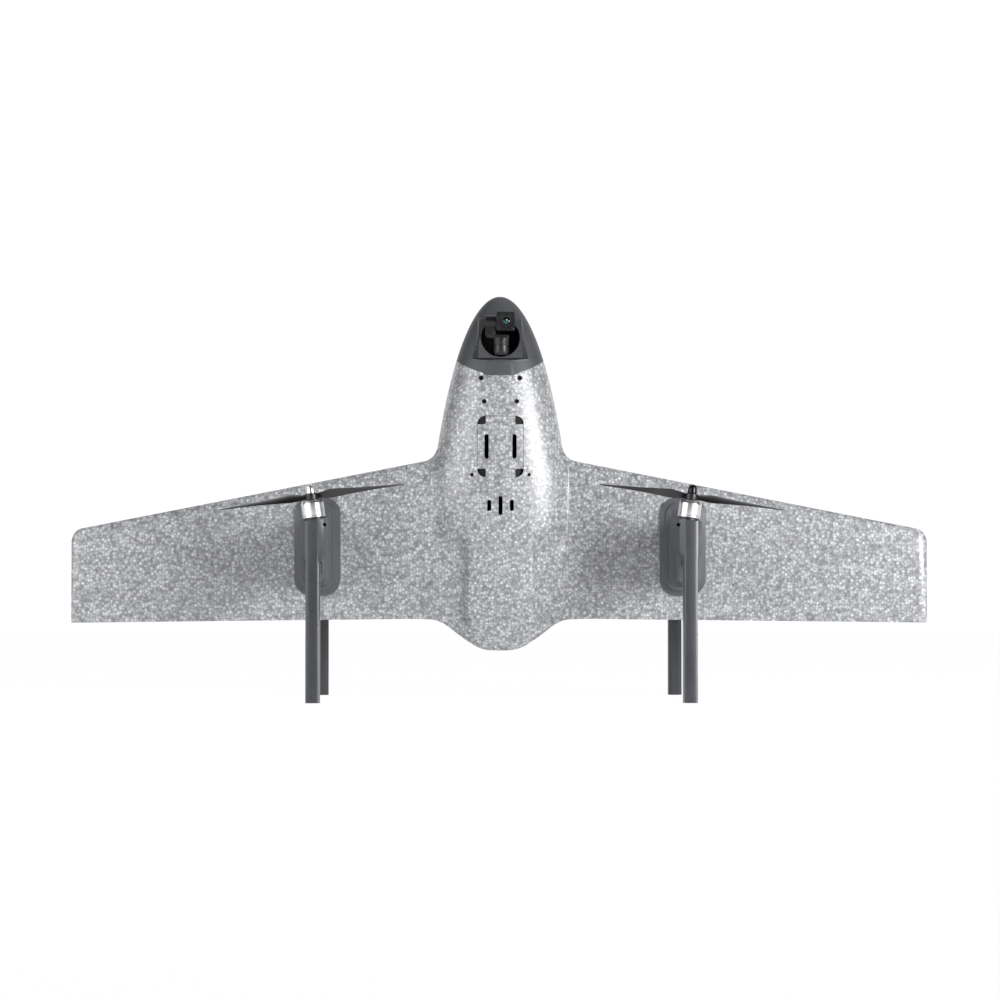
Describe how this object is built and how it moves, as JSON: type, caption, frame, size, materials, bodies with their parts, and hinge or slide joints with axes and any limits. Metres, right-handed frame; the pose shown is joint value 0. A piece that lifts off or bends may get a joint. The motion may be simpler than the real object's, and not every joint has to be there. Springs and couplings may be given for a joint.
{
  "type": "tail-sitter flying wing drone",
  "caption": "Foam flying wing that stands on tail legs, with rotor pods above and below each wing and a gimbal camera in its nose.",
  "frame": {"origin": "on the ground under the middle of the body, at the level of the leg ends", "axes": "+Z towards the nose, +X along the span to the aircraft's left, +Y towards its back; belly faces -Y"},
  "size_m": [1.0848, 0.298, 0.5098],
  "materials": {
    "foam": "light grey moulded bead foam",
    "cover_plastic": "slate grey satin moulded plastic",
    "pod_plastic": "slate grey satin moulded plastic",
    "black_plastic": "matte black plastic",
    "gimbal_black": "fine matte black",
    "lens_ring": "gloss black ring",
    "lens_glass": "coated dark lens",
    "screw_black": "blackened steel",
    "carbon_tube": "carbon fibre tube",
    "cable_sleeve": "braided cable sleeve",
    "battery_wrap": "heat-shrink wrap",
    "circuit_board": "populated circuit board",
    "brass_standoff": "turned brass",
    "ceramic_case": "ceramic patch antenna in a case",
    "motor_metal": "dark anodised base and stator",
    "motor_silver": "bright turned aluminium",
    "prop_black": "black glass-filled nylon",
    "nut_silver": "bright turned aluminium",
    "nut_black": "black anodised aluminium"
  },
  "bodies": {
    "airframe": {"fuselage_foam": "foam", "left_wing": "foam", "right_wing": "foam", "nose_cover": "cover_plastic", "gimbal_bay_liner": "black_plastic", "gimbal_base": "gimbal_black", "belly_screws": "screw_black", "pod_screws": "screw_black", "main_spar": "carbon_tube", "rear_spar": "carbon_tube", "left_wing_harness": "cable_sleeve", "right_wing_harness": "cable_sleeve", "battery": "battery_wrap", "flight_controller": "circuit_board", "speed_controller": "circuit_board", "board_standoffs": "brass_standoff", "radio_receiver": "black_plastic", "gps_receiver": "ceramic_case", "left_belly_pod_mount": "pod_plastic", "left_belly_leg": "pod_plastic", "left_belly_motor_base": "motor_metal", "right_belly_pod_mount": "pod_plastic", "right_belly_leg": "pod_plastic", "right_belly_motor_base": "motor_metal", "left_top_pod_mount": "pod_plastic", "left_top_leg": "pod_plastic", "left_top_motor_base": "motor_metal", "right_top_pod_mount": "pod_plastic", "right_top_leg": "pod_plastic", "right_top_motor_base": "motor_metal"},
    "left_belly_rotor": {"left_belly_motor_bell": "motor_silver", "left_belly_propeller": "prop_black", "left_belly_prop_nut": "nut_black"},
    "right_belly_rotor": {"right_belly_motor_bell": "motor_silver", "right_belly_propeller": "prop_black", "right_belly_prop_nut": "nut_silver"},
    "left_top_rotor": {"left_top_motor_bell": "motor_silver", "left_top_propeller": "prop_black", "left_top_prop_nut": "nut_silver"},
    "right_top_rotor": {"right_top_motor_bell": "motor_silver", "right_top_propeller": "prop_black", "right_top_prop_nut": "nut_black"},
    "gimbal_arm": {"gimbal_arm": "gimbal_black"},
    "camera": {"camera_body": "gimbal_black", "lens_barrel": "lens_ring", "lens_glass": "lens_glass"},
    "hatch": {"belly_hatch": "foam", "hatch_latches": "black_plastic"}
  },
  "joints": [
    {"name": "left_belly_spin", "type": "hinge", "parent": "airframe", "child": "left_belly_rotor", "pos_m": [0.2296, -0.135, 0.227], "axis": [0.1392, 0, 0.9903], "continuous": true},
    {"name": "right_belly_spin", "type": "hinge", "parent": "airframe", "child": "right_belly_rotor", "pos_m": [-0.2296, -0.135, 0.227], "axis": [-0.1392, 0, 0.9903], "continuous": true},
    {"name": "left_top_spin", "type": "hinge", "parent": "airframe", "child": "left_top_rotor", "pos_m": [0.2296, 0.135, 0.227], "axis": [0.1392, 0, 0.9903], "continuous": true},
    {"name": "right_top_spin", "type": "hinge", "parent": "airframe", "child": "right_top_rotor", "pos_m": [-0.2296, 0.135, 0.227], "axis": [-0.1392, 0, 0.9903], "continuous": true},
    {"name": "gimbal_roll", "type": "hinge", "parent": "airframe", "child": "gimbal_arm", "pos_m": [0.001, -0.0415, 0.445], "axis": [0, 0, 1], "range_deg": [-25, 25]},
    {"name": "camera_tilt", "type": "hinge", "parent": "gimbal_arm", "child": "camera", "pos_m": [0.0062, -0.047, 0.4743], "axis": [1, 0, 0], "range_deg": [-90, 45]},
    {"name": "hatch_lift", "type": "slide", "parent": "airframe", "child": "hatch", "axis": [0, -1, 0], "range_m": [0, 0.06]}
  ]
}
